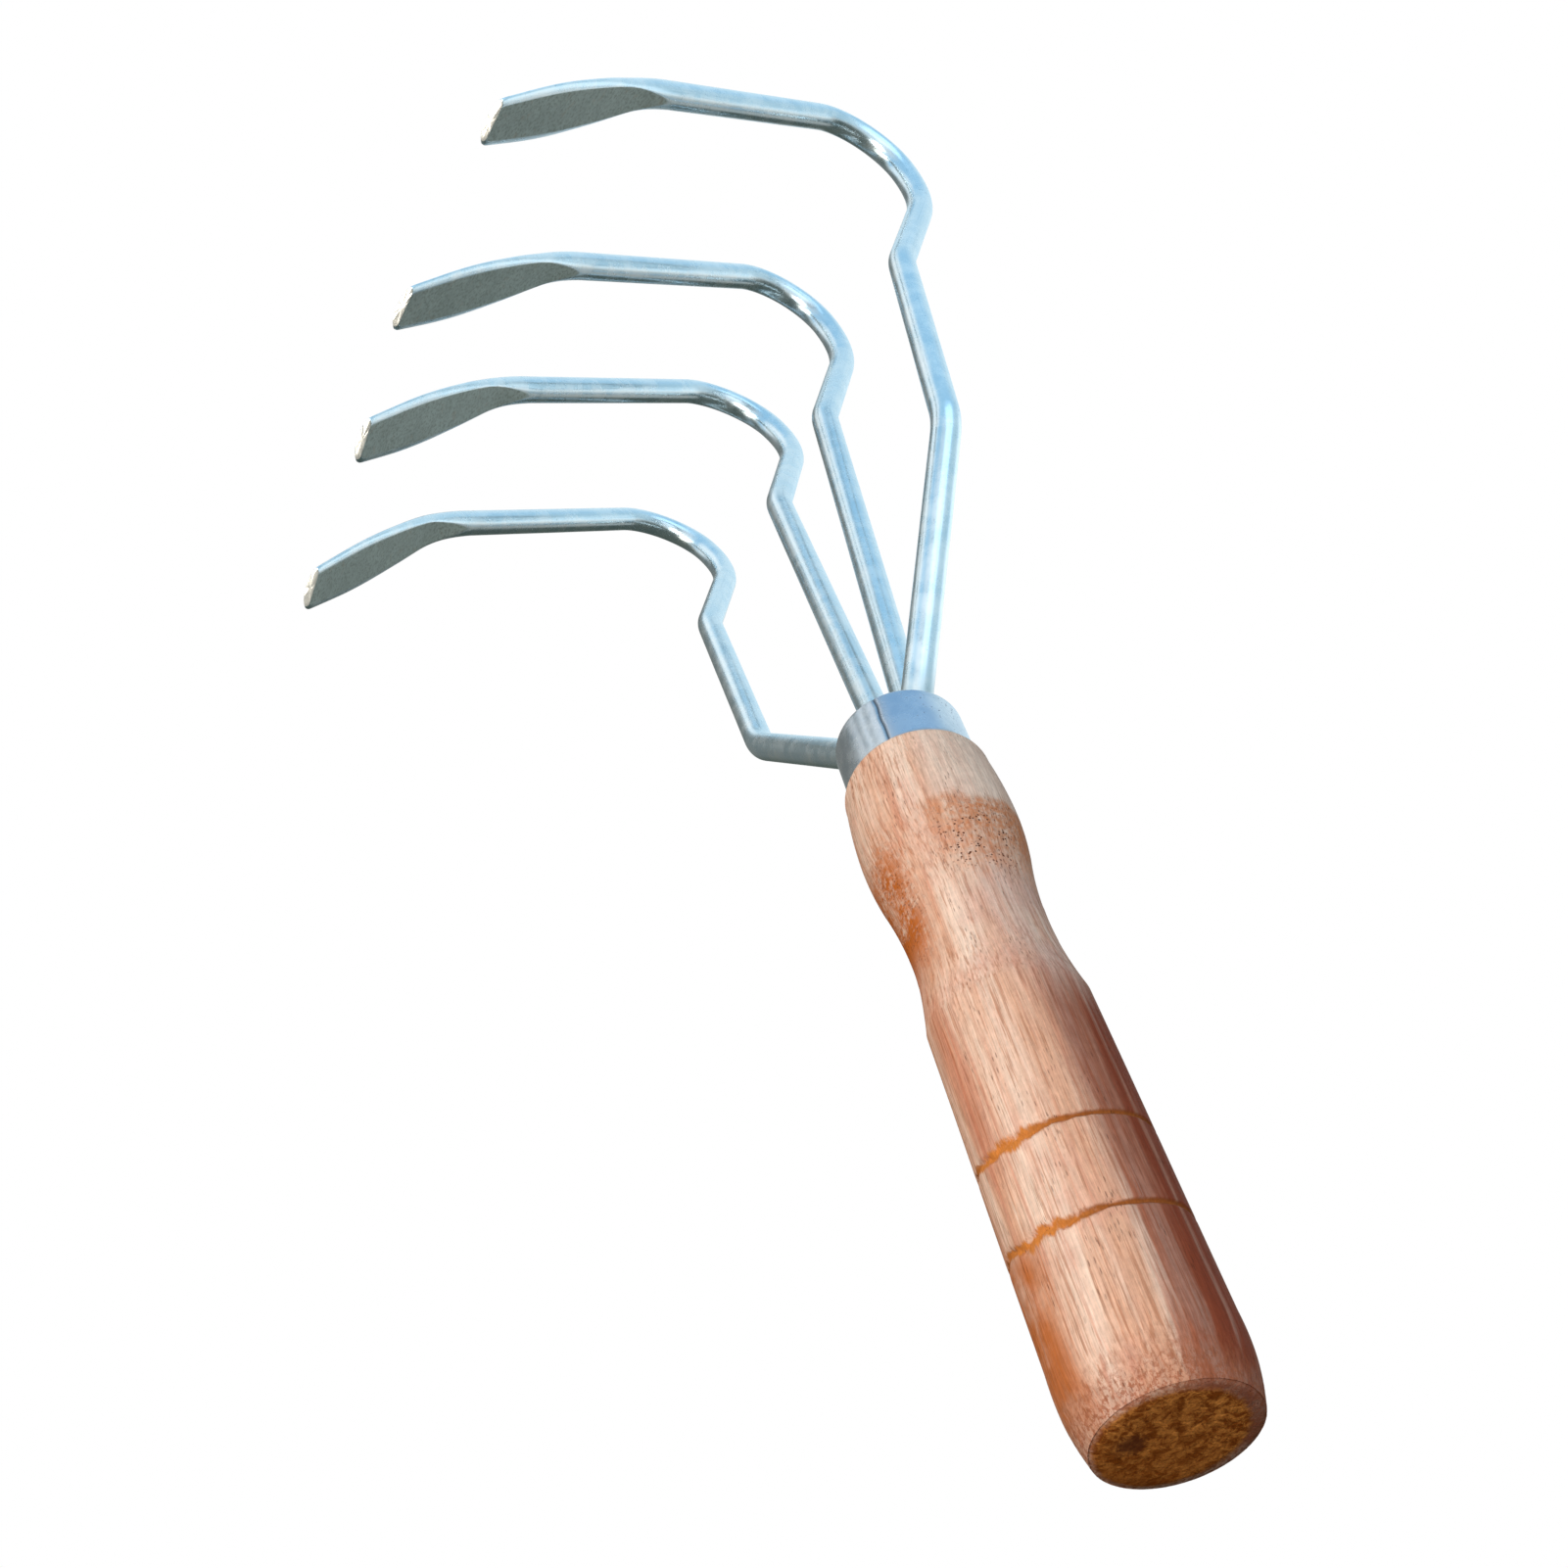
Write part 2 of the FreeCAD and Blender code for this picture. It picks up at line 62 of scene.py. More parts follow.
# how far each rounded stretch stands out from a straight taper
BUTT_BULGE, BULB_BACK_BULGE, BULB_FRONT_BULGE, NECK_BULGE = 0.6, 0.245, 0.15, 0.45
FERRULE_LEN, FERRULE_R, FERRULE_WALL, FERRULE_LIP, FIT_GAP = 13.05, 11.77, 1.2, 0.7, 0.05
BACK_EASE, MOUTH_EASE = 0.18, 0.2       # broken edges of the ferrule, back and mouth
SEAM_DEPTH, SEAM_SPREAD = 0.16, 1.3     # the spread is in degrees

# tines: JOG, CROWN, CROOK and CURL are bends in degrees, each with a radius
WIRE_R = 3.0
TANG_START, TANG_SIDE, TANG_HEIGHT, TANG_BEND = 100.0, 3.6, 1.48, 139.3
TANG_EASE = 1.2                         # the straight tang stops this far before its bend
JOG, JOG_R, RISE = 17.76, 17.1, 30.2
CROWN, CROWN_R, CROOK, CROOK_R = 39.7, 32.1, 108.0, 14.7
CURL_R, BLADE_LEN = 57.0, 54.1
ARM = {"outer_left": 53.4, "inner_left": 58.1, "inner_right": 57.0, "outer_right": 57.2}
CURL = {"outer_left": 16.7, "inner_left": 16.75, "inner_right": 19.7, "outer_right": 23.4}
# where the jog starts, for the left tine of each pair; the right one mirrors it
OUTER = Vector((254.5, 48.6, 5.2))
OUTER_YAW, OUTER_PITCH, OUTER_ROLL, OUTER_RUN, OUTER_BEND_R = 7.6, 2.2, -2.9, 60.4, 16.0
STUB = Vector((144.5, 5.7, 1.1))        # foot of the outer tine, against the inner one
INNER = Vector((250.0, 11.4, 4.55))
INNER_ROLL = -2.5
# blade: share of its length, half width, half thickness
BLADE = ((0.0, 3.0, 3.0), (0.18, 3.6, 2.55), (0.42, 5.35, 1.85), (0.70, 6.15, 1.4), (1.0, 5.1, 1.15))
UNEVEN_WIRE = 0.012                     # share of the wire's radius that comes and goes
TIP_BACK = 0.35                         # the last loop is drawn back to leave room for the edge
TIP_LOOPS = ((0.97, 0.06), (0.93, 0.12), (0.70, 0.16), (0.35, 0.18))    # shrink, mm ahead
WELD = Vector((142.6, 0.0, 1.2))
WELD_HALF = Vector((4.6, 8.6, 5.2))
WELD_FULL = 0.88                        # share of that size before the lumps are added

# a turn is an angle round the handle's axis, in degrees from +Y towards +Z
CAMERA_TURN = -46.0                     # the side that faces the camera
RAGGED_TURN = -92.0                     # the side where the rings are ragged
SEAM_TURN = -53.0                       # the seam of the ferrule
# how far the rings and the step stray: mm, degrees from the camera's side, spread
STRAYS = ((3.8, -88, 38), (1.3, 80, 30))
# where the straying starts, is full, starts to fade and is gone, from the butt face
STRAY_START, STRAY_FULL, STRAY_FADE, STRAY_END = 6, 20, 72, 92

# how many points go round a piece, and how many steps a stretch is cut into
HANDLE_SIDES, FERRULE_SIDES, WIRE_SIDES = 224, 400, 72
BUTT_STEPS, WAIST_STEPS, BULB_STEPS, NECK_STEPS = 26, 46, 16, 8
BAND_STEPS, LIP_STEPS = 22, 8
TANG_STEPS, STUB_STEPS, BEND_STEPS, BLADE_STEPS = 23, 24, 20, 60
RUN_STEP, ARC_STEP = 1.6, 0.7           # mm a step along a tine
BARREL_STEP, RING_STEP, RING_ZONE = 0.8, 0.16, 3   # steps are finer within the zone of a ring


# ------------------------------------------------------------------ finishes
class Value:
    """A node socket that takes part in sums: every sum adds its own Math node."""

    def __init__(self, finish, socket):
        self.finish, self.socket = finish, socket

    def _sum(self, operation, *terms):
        sockets = dict(enumerate(terms))
        return self.finish.node("Math", {"operation": operation}, sockets)

    def __add__(self, other):
        return self._sum("ADD", self, other)

    def __radd__(self, other):
        return self._sum("ADD", other, self)

    def __sub__(self, other):
        return self._sum("SUBTRACT", self, other)

    def __rsub__(self, other):
        return self._sum("SUBTRACT", other, self)

    def __mul__(self, other):
        return self._sum("MULTIPLY", self, other)

    def __rmul__(self, other):
        return self._sum("MULTIPLY", other, self)

    def __truediv__(self, other):
        return self._sum("DIVIDE", self, other)

    def __abs__(self):
        return self._sum("ABSOLUTE", self)


class Nodes:
    """A node tree and the calls that add nodes to it."""

    def __init__(self, tree):
        self.tree = tree

    def plug(self, value, socket):
        if isinstance(value, Value):
            self.tree.links.new(value.socket, socket)
        else:
            socket.default_value = value

    def node(self, kind, settings=None, sockets=None, out=0):
        """Add a node: its settings first, then the values or links of its sockets."""
        made = self.tree.nodes.new("ShaderNode" + kind)
        for key, value in (settings or {}).items():
            setattr(made, key, value)
        for key, value in (sockets or {}).items():
            self.plug(value, made.inputs[key])
        return Value(self, made.outputs[out])

    def mix(self, factor, a, b, blend="MIX"):
        return self.node("Mix", {"data_type": "RGBA", "blend_type": blend, "clamp_factor": True},
                         {0: factor, 6: a, 7: b}, out=2)

    def scaled(self, vector, factors):
        return self.node("VectorMath", {"operation": "MULTIPLY"}, {0: vector, 1: factors})

    def part(self, vector, axis):
        return self.node("SeparateXYZ", sockets={"Vector": vector}, out=axis)

    def cloud(self, vector, scale, detail=3.0, rough=0.55, warp=0.0):
        return self.node("TexNoise", sockets={"Vector": vector, "Scale": scale, "Detail": detail,
                                              "Roughness": rough, "Distortion": warp})

    def cells(self, vector, scale, feature="F1"):
        return self.node("TexVoronoi", {"feature": feature}, {"Vector": vector, "Scale": scale})

    def span(self, value, low, high, to_low=0.0, to_high=1.0, kind="SMOOTHSTEP"):
        """Fade from to_low to to_high while the value goes from low to high."""
        return self.node("MapRange", {"interpolation_type": kind},
                         {"Value": value, "From Min": low, "From Max": high,
                          "To Min": to_low, "To Max": to_high})

    def grown(self, name):
        """A value that was laid down on the mesh while its piece was shaped."""
        return self.node("Attribute", {"attribute_name": name}, out="Fac")

    def bump(self, height, strength, distance):
        return self.node("Bump", sockets={"Height": height, "Strength": strength,
                                          "Distance": distance}, out="Normal")


class Finish(Nodes):
    """One procedural material; place is where a point lies on the tool, in metres."""

    def __init__(self, name):
        self.material = bpy.data.materials.new(name)
        self.material.use_nodes = True
        super().__init__(self.material.node_tree)
        self.shader = self.tree.nodes["Principled BSDF"]
        self.place = self.node("TexCoord", out="Object")

    def coat(self, **sockets):
        for key, value in sockets.items():
            self.plug(value, self.shader.inputs[key.replace("_", " ")])

    def turn(self):
        """Which way a place faces round the handle's axis, in degrees from +Y towards +Z."""
        y, z = self.part(self.place, 1), self.part(self.place, 2)
        return self.node("Math", {"operation": "ARCTAN2"}, {0: z, 1: y}) * (180 / math.pi)

    def away(self, point):
        """How far a place is from a point."""
        return self.node("VectorMath", {"operation": "DISTANCE"}, {0: self.place, 1: point},
                         out="Value")


def shade(red, green, blue):
    """A colour given as it looks on a colour card, 0 to 255, made linear."""
    def linear(c):
        c /= 255
        return c / 12.92 if c <= 0.04045 else ((c + 0.055) / 1.055) ** 2.4
    return (linear(red), linear(green), linear(blue), 1.0)


def turned_wood():
    """Pale pinkish hardwood with a redder side, burnt rings, a scorched band and end grain."""
    w = Finish("turned_wood")
    x, y, turn = w.grown("station"), w.part(w.place, 1), w.turn()

    def around(centre, half, soft):
        """1 on the side of the handle that faces centre degrees."""
        back = w.node("Math", {"operation": "WRAP"}, {0: turn - centre, 1: 180.0, 2: -180.0})
        return w.span(abs(back), half + soft, half - soft)

    def along(low, high, soft):
        """1 between two places along the handle, in mm."""
        return w.span(x, (low - soft) * MM, (low + soft) * MM) \
            * w.span(x, (high + soft) * MM, (high - soft) * MM)

    def grain(waves, across, detail, rough=0.55, warp=0.0):
        """Noise drawn out along the handle: waves in a metre along it, and across it."""
        return w.cloud(w.scaled(w.place, (waves, across, across)), 1.0, detail, rough, warp)

    broad = grain(12, 170, 4, 0.6, 0.4)
    streak = grain(22, 680, 5, 0.68, 0.5)
    line = grain(70, 2300, 4, 0.66)
    fibre = grain(230, 3600, 3, 0.6)
    blotch = w.cloud(w.place, 75.0, 5, 0.62)
    crumb = w.cloud(w.place, 900.0, 4, 0.7)
    pore = w.span(w.cells(w.scaled(w.place, (420, 2600, 2600)), 1.0), 0.30, 0.14) \
        * w.span(grain(90, 300, 2, 0.5), 0.50, 0.64)

    colour = w.mix(w.span(broad, 0.34, 0.66), shade(214, 163, 135), shade(233, 203, 183))
    colour = w.mix(w.span(streak, 0.48, 0.68) * 0.62, colour, shade(196, 128, 102))
    colour = w.mix(w.span(streak, 0.44, 0.28) * 0.55, colour, shade(240, 216, 196))
    colour = w.mix(w.span(blotch, 0.50, 0.72) * 0.36, colour, shade(206, 142, 124))
    colour = w.mix(w.span(line, 0.50, 0.64) * 0.62, colour, shade(166, 106, 74))

    # one side of the plank is redder and darker: partly red wood, partly painted shade on the side that
    # faces away from the front lamps; the waist is a little greyer
    red_and_shaded_side = around(34, 54, 10) * along(-5, 69, 10)
    red_streaks = w.span(grain(14, 380, 3, 0.5, 0.3), 0.46, 0.60)
    # the dark red mixed in here is partly the wood's own colour and partly painted shade
    colour = w.mix(red_and_shaded_side * (0.74 + red_streaks * 0.24), colour, shade(132, 60, 38))
    colour = w.mix(red_streaks * around(-20, 16, 12) * along(-2, 39, 6) * 0.75,
                   colour, shade(160, 88, 60))
    colour = w.mix(red_streaks * around(-92, 22, 14) * along(38, 70, 8) * 0.45,
                   colour, shade(184, 104, 74))
    colour = w.mix(along(68, 96, 8) * around(6, 40, 34) * w.span(blotch, 0.34, 0.6) * 0.4,
                   colour, shade(200, 162, 152))

    # pale bare wood behind the ferrule, then a scorched band with pits
    drift = (w.cloud(w.place, 44.0, 4, 0.6) - 0.5) * (24 * MM) + (crumb - 0.5) * (3 * MM)
    edge = w.span(x + drift, 108.2 * MM, 111.2 * MM)
    colour = w.mix(edge * around(14, 54, 14) * 0.52, colour, shade(234, 208, 190))
    scorch = w.span(x + drift, 88 * MM, 103 * MM) * (1 - edge) * around(14, 56, 34)
    colour = w.mix(scorch * w.span(crumb, 0.25, 0.65) * 0.85, colour, shade(192, 112, 62))
    left_scorch = along(80, 108, 9) * around(-118, 40, 18)
    colour = w.mix(left_scorch * w.span(crumb + (blotch - 0.5) * 1.5, 0.22, 0.62),
                   colour, shade(180, 96, 40))
    pitted = along(94, 104, 3) * around(-14, 28, 12) * 1.2 + scorch * 0.35 + left_scorch * 0.6
    pits = w.span(w.cells(w.place, 1500.0), 0.34, 0.18) \
        * w.span(w.cloud(w.place, 360.0, 2), 0.40, 0.52) * pitted

    # ring lines, thin and dark on one side, ragged and bled on the other
    bled = around(-88, 36, 24)
    jag = (grain(60, 300, 5, 0.7) - 0.5) * (6.4 * MM) * bled
    width = 0.40 * MM + bled * (0.60 * MM) * w.span(blotch, 0.36, 0.62)

    def burn(where):
        return w.span(abs(x + jag - where * MM) / width, 1.5, 0.45)

    ring = burn(RINGS[0]) + burn(RINGS[1])
    stain = along(2, 25, 4) * around(-110, 26, 18)
    colour = w.mix(stain * w.span(blotch, 0.22, 0.52) * 0.90, colour, shade(182, 98, 42))
    colour = w.mix(ring * w.span(crumb, -0.1, 0.45), colour,
                   w.mix(bled, shade(150, 84, 40), shade(200, 122, 58)))

    # rough end grain round the butt, and the butt face with its pith
    rim = w.span(x + (crumb - 0.5) * (6 * MM) + (blotch - 0.5) * (5 * MM), 8.5 * MM, 1.0 * MM)
    speck = w.span(w.cloud(w.place, 1500.0, 3, 0.7), 0.46, 0.60)
    colour = w.mix(rim * w.span(speck, 0, 1, 0.35, 0.85), colour, shade(158, 92, 64))
    from_centre = w.away((0, -0.4 * MM, -0.8 * MM))
    face = w.span(from_centre + (crumb - 0.5) * (1.2 * MM), 10.4 * MM, 9.3 * MM)
    growth = w.cloud(w.place, 640.0, 6, 0.76, 0.5)
    face_colour = w.mix(w.span(growth, 0.40, 0.62), shade(130, 62, 18), shade(244, 158, 78))
    face_colour = w.mix(w.span(w.cells(w.place, 1500.0), 0.2, 0.5) * 0.35,
                        face_colour, shade(166, 90, 32))
    face_colour = w.mix(w.span(y, 2 * MM, -11 * MM) * 0.5, face_colour, shade(150, 76, 20))
    from_pith = w.away((0, -2.5 * MM, -5.6 * MM))
    face_colour = w.mix(w.span(from_pith + (growth - 0.5) * (4 * MM), 2.8 * MM, 0.9 * MM) * 0.8,
                        face_colour, shade(96, 48, 30))
    colour = w.mix(face, colour, face_colour)

    dents = (pore * 0.6 + pits) * (1 - face)
    colour = w.mix(dents * 0.85, colour, shade(92, 52, 36))
    tone = w.span(fibre * 0.65 + crumb * 0.35, 0.28, 0.72, 0.68, 1.20, "LINEAR")
    grey = w.node("CombineColor", sockets={"Red": tone, "Green": tone, "Blue": tone})
    colour = w.mix(1.0, colour, grey, "MULTIPLY")

    relief = fibre * 0.30 + line * 0.35 + streak * 0.25 - dents * 0.9 - ring * 0.5 \
        + crumb * (0.2 + rim * 0.8 + face * 0.8)
    w.coat(Base_Color=colour, Specular_IOR_Level=0.02,
           Roughness=w.span(streak, 0.3, 0.7, 0.58, 0.74) + rim * 0.12,
           Normal=w.bump(relief, 0.55, 0.30 * MM))
    return w.material


def plated_wire():
    """Bright plated steel, darker at the roots, with dull forged faces and a bare tip edge whose
    near-white colour is partly a painted highlight.
    """
    p = Finish("plated_wire")
    run = p.node("CombineXYZ", sockets={"X": p.grown("along"), "Y": p.grown("across"),
                                        "Z": p.grown("above")})
    drawn = p.cloud(p.scaled(run, (40, 1500, 1500)), 1.0, 3, 0.6)
    patch = p.cloud(p.place, 190.0, 5, 0.62)
    grit = p.cloud(p.place, 1500.0, 3, 0.7)
    flat, tip = p.grown("flat"), p.grown("tip")

    colour = p.mix(p.span(patch, 0.35, 0.68), shade(196, 216, 226), shade(222, 232, 236))
    colour = p.mix(p.span(drawn, 0.52, 0.72) * 0.35, colour, shade(168, 192, 206))
    colour = p.mix(p.span(grit, 0.60, 0.74) * 0.45, colour, shade(122, 142, 150))
    root = p.span(p.part(p.place, 0), 152 * MM, 141 * MM)
    colour = p.mix(root * 0.45, colour, shade(128, 128, 118))

    dull = p.mix(p.span(patch, 0.36, 0.64), shade(188, 198, 190), shade(202, 212, 204))
    dull = p.mix(p.span(grit, 0.44, 0.66) * 0.8, dull, shade(150, 158, 146))
    warm = p.cloud(p.place, 420.0, 2)
    dull = p.mix(p.span(warm, 0.60, 0.72) * 0.30, dull, shade(186, 172, 150))
    face = p.span(flat, 0.25, 0.75)
    colour = p.mix(face, colour, dull)
    # the tip edge is bare ground steel, made near white with a painted highlight
    colour = p.mix(tip, colour, shade(246, 244, 238))

    relief = drawn * 0.08 + grit * (0.05 + face * 0.6) + patch * 0.12
    p.coat(Base_Color=colour,
           Metallic=0.92 - face * 0.74 - tip * 0.35,
           Roughness=p.span(patch, 0.3, 0.7, 0.22, 0.32) + face * 0.32 + root * 0.2,
           Normal=p.bump(relief, 0.20, 0.12 * MM))
    return p.material


def ferrule_steel():
    """Lathe-marked steel with a painted darker blue reflection on the side facing the camera, a pitted
    side and a stain at the wood.
    """
    f = Finish("ferrule_steel")
    x, turn = f.part(f.place, 0), f.turn()
    lathe = f.cloud(f.scaled(f.place, (2600, 90, 90)), 1.0, 3, 0.6)
    patch = f.cloud(f.place, 210.0, 4, 0.6)
    grit = f.cloud(f.place, 1900.0, 3, 0.7)
    pitted = f.span(abs(turn - 8), 48, 20) * f.span(x, 129.5 * MM, 133 * MM)
    pits = f.span(f.cells(f.place, 1350.0), 0.26, 0.12) \
        * f.span(f.cloud(f.place, 420.0, 2), 0.46, 0.58) * (pitted + 0.15)
    seam = f.grown("seam")
    colour = f.mix(f.span(patch, 0.34, 0.66), shade(186, 196, 206), shade(208, 214, 220))
    colour = f.mix(f.span(grit, 0.55, 0.75) * 0.35, colour, shade(150, 166, 186))
    # painted reflection: the side that faces the camera is made darker and bluer
    colour = f.mix(f.span(abs(turn + 30), 34, 14) * 0.55, colour, shade(140, 162, 192))
    colour = f.mix(pits * 0.85, colour, shade(88, 98, 122))
    colour = f.mix(seam, colour, shade(70, 80, 92))
    stain = f.span(x + (patch - 0.5) * (3 * MM), 129.9 * MM, 128.4 * MM)
    colour = f.mix(stain * 0.45, colour, shade(150, 132, 112))
    f.coat(Base_Color=colour, Metallic=0.9 - pits * 0.4,
           Roughness=f.span(patch, 0.3, 0.7, 0.20, 0.30) + pits * 0.2 + stain * 0.15,
           Normal=f.bump(lathe * 0.3 + grit * 0.3 - pits * 0.9, 0.4, 0.12 * MM))
    return f.material


def weld_metal():
    """Dark rippled weld with scale and a little rust."""
    b = Finish("weld_metal")
    scale = b.cloud(b.place, 520.0, 5, 0.65, 0.4)
    grit = b.cloud(b.place, 2100.0, 3, 0.7)
    ripple = b.cells(b.place, 620.0, "SMOOTH_F1")
    colour = b.mix(b.span(scale, 0.34, 0.66), shade(84, 74, 66), shade(148, 142, 132))
    colour = b.mix(b.span(grit, 0.54, 0.74) * 0.6, colour, shade(104, 66, 44))
    b.coat(Base_Color=colour, Metallic=0.75, Roughness=b.span(scale, 0.3, 0.7, 0.42, 0.7),
           Normal=b.bump(ripple * 0.7 + grit * 0.4, 0.6, 0.3 * MM))
    return b.material


# ------------------------------------------------------------------ shapes
def eased(t):
    """t held between 0 and 1, with a soft start and a soft end."""
    t = min(1.0, max(0.0, t))
    return t * t * (3 - 2 * t)


def turned_from(turn, centre):
    """How many degrees a turn is past a centre, from -180 to 180."""
    return (turn - centre + 180) % 360 - 180


def bulge_arc(a, b, rise, steps):
    """Points of a shallow arc from a to b that stands out by rise in its middle."""
    ax, ay, bx, by = a[0], a[1], b[0], b[1]
    chord = math.hypot(bx - ax, by - ay)
    radius = (chord * chord / 4 + rise * rise) / (2 * rise)
    half = math.asin(min(1.0, chord / (2 * radius)))
    out = []
    for k in range(1, steps + 1):
        angle = -half + 2 * half * k / steps
        u = 0.5 + math.sin(angle) * radius / chord
        lift = radius * math.cos(angle) - (radius - rise)
        out.append((ax + (bx - ax) * u - (by - ay) / chord * lift,
                    ay + (by - ay) * u + (bx - ax) / chord * lift))
    return out


def wander(x, turn):
    """How far towards the tines the hand-cut rings and step stray at a place, in mm."""
    face = turned_from(turn, CAMERA_TURN)
    stray = sum(far * math.exp(-((face - side) / spread) ** 2) for far, side, spread in STRAYS)
    coming = eased((x - STRAY_START) / (STRAY_FULL - STRAY_START))
    going = eased((STRAY_END - x) / (STRAY_END - STRAY_FADE))
    return stray * coming * going


def ring_depth(x, turn):
    """How deep the two ring grooves are at a place on the barrel, in mm."""
    ragged = max(0.0, math.cos(math.radians(turn - RAGGED_TURN)))
    shift = ragged * 1.1 * noise.noise(Vector((turn * 0.11, 3.0, x * 0.02)))
    width = RING_WIDTH + 0.35 * ragged + 0.12 * noise.noise(Vector((turn * 0.3, 9.0, 0.0)))
    deep = RING_DEPTH + 0.08 * noise.noise(Vector((turn * 0.2, 5.0, 1.0)))
    near = min(abs(x + shift - where) for where in RINGS)
    return deep * math.exp(-(near / width) ** 2 * 1.8)


def link_piece(name, mesh_tool, material, node, sharp):
    """Turn worked bmesh geometry into a finished piece that stands for a CAD node.

    Edges that bend by more than sharp degrees stay crisp.
    """
    bmesh.ops.recalc_face_normals(mesh_tool, faces=mesh_tool.faces)
    mesh = bpy.data.meshes.new(name)
    for face in mesh_tool.faces:
        face.smooth = True
    for edge in mesh_tool.edges:
        if edge.is_manifold and edge.calc_face_angle(0.0) > math.radians(sharp):
            edge.smooth = False
    mesh_tool.to_mesh(mesh)
    mesh_tool.free()
    mesh.transform(Matrix.Scale(MM, 4))
    mesh.materials.append(material)
    piece = bpy.data.objects.new(name, mesh)
    bpy.context.scene.collection.objects.link(piece)
    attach(piece, "root")
    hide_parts(node)


def skin(mesh_tool, loops):
    """Join neighbouring closed loops of vertices with quads."""
    for one, two in zip(loops, loops[1:]):
        count = len(one)
        for k in range(count):
            mesh_tool.faces.new((one[k], one[(k + 1) % count], two[(k + 1) % count], two[k]))


def fan(mesh_tool, loop, centre):
    """Close a loop with triangles to a new vertex at its centre, and return that vertex."""
    hub = mesh_tool.verts.new(centre)
    for k in range(len(loop)):
        mesh_tool.faces.new((loop[k], loop[(k + 1) % len(loop)], hub))
    return hub


def handle_outline():
    """The turned profile as (place along the handle, radius), from the butt to the tenon."""
    hollow_r = ((BARREL_END - WAIST_X) ** 2 + (BARREL_R - WAIST_R) ** 2) / (2 * (BARREL_R - WAIST_R))

    def waist(x):
        return WAIST_R + hollow_r - math.sqrt(hollow_r ** 2 - (x - WAIST_X) ** 2)

    outline = [(0, BUTT_FLAT * share) for share in (0.12, 0.3, 0.5, 0.7, 0.86, 0.95)]
    outline += [(0.02, BUTT_FLAT - 0.12), (0.12, BUTT_FLAT + 0.02)]
    butt = bulge_arc((0, BUTT_FLAT), (BUTT_ROUND, BARREL_R), BUTT_BULGE, BUTT_STEPS)
    outline += [point for point in butt if point[0] > BUTT_EDGE]
    x = BUTT_ROUND
    while x < BARREL_END - 0.3:
        near = min(abs(x - where) for where in RINGS)
        x += RING_STEP if near < RING_ZONE else BARREL_STEP
        outline.append((min(x, BARREL_END), BARREL_R))
    for k in range(1, WAIST_STEPS + 1):
        x = BARREL_END + (BULB_START - BARREL_END) * k / WAIST_STEPS
        outline.append((x, waist(x)))
    outline += bulge_arc((BULB_START, waist(BULB_START)), (BULB_X, BULB_R), BULB_BACK_BULGE, BULB_STEPS)
    outline += bulge_arc((BULB_X, BULB_R), (NECK_X, NECK_R), BULB_FRONT_BULGE, BULB_STEPS)
    outline += bulge_arc((NECK_X, NECK_R), (HANDLE_LEN, NECK_FACE), NECK_BULGE, NECK_STEPS)
    tenon_r, tenon_end = FERRULE_R - FERRULE_WALL - FIT_GAP, HANDLE_LEN + TENON_LEN
    return outline + [(HANDLE_LEN, tenon_r), (tenon_end, tenon_r), (tenon_end, tenon_r * 0.5)]


def make_handle():
    """The turned handle, with its rings, stray step, rough butt face and tenon."""
    tool = bmesh.new()
    station = tool.verts.layers.float.new("station")
    loops = []
    for x, r in handle_outline():
        loop = []
        for k in range(HANDLE_SIDES):
            angle = 2 * math.pi * k / HANDLE_SIDES
            turn, y, z = math.degrees(angle), math.cos(angle), math.sin(angle)
            radius = r
            if BUTT_ROUND - 1 < x < BARREL_END:
                radius -= ring_depth(x, turn)
            if x < HANDLE_LEN - 0.01 and r > BUTT_FLAT + 0.3:
                uneven = noise.noise(Vector((x * 0.05, y * 1.6, z * 1.6)))
                radius -= HAND_TURNED * (0.5 + 0.5 * uneven)
            dent = drop = 0.0
            if x < ROUGH_END:
                rough = ROUGH * abs(noise.noise(Vector((y * r * 1.7, z * r * 1.7, x * 1.7))))
                radius -= rough
            if x < BUTT_EDGE:
                dent, drop = rough, FACE_DROP * max(0.0, (r - FACE_LEVEL_R) / FACE_SLOPE) ** 2
            vert = tool.verts.new((x + dent + drop + wander(x, turn), radius * y, radius * z))
            vert[station] = x * MM
            loop.append(vert)
        loops.append(loop)
    skin(tool, loops)
    fan(tool, loops[0], (0.01, 0, 0))
    fan(tool, loops[-1], (HANDLE_LEN + TENON_LEN, 0, 0))
    link_piece("turned_handle", tool, turned_wood(), "handle", sharp=50)


def ferrule_outline():
    """The ferrule's wall as (place along the handle, radius), outside first, then the bore."""
    back, end, inner = HANDLE_LEN + BACK_EASE, HANDLE_LEN + FERRULE_LEN, FERRULE_R - FERRULE_WALL
    outline = [(HANDLE_LEN, inner + 0.1), (HANDLE_LEN, FERRULE_R - 0.14),
               (HANDLE_LEN + 0.05, FERRULE_R - 0.04), (back, FERRULE_R)]
    band = FERRULE_LEN - FERRULE_LIP - BACK_EASE
    outline += [(back + band * k / BAND_STEPS, FERRULE_R) for k in range(1, BAND_STEPS + 1)]
    for k in range(1, LIP_STEPS + 1):
        a = math.pi / 2 * k / LIP_STEPS
        outline.append((end - FERRULE_LIP + FERRULE_LIP * math.sin(a),
                        FERRULE_R - FERRULE_LIP * (1 - math.cos(a))))
    outline += [(end, inner + 0.16), (end - 0.05, inner + 0.05), (end - MOUTH_EASE, inner)]
    bore = FERRULE_LEN - 0.3
    return outline + [(end - MOUTH_EASE - bore * k / 8, inner) for k in range(1, 9)]


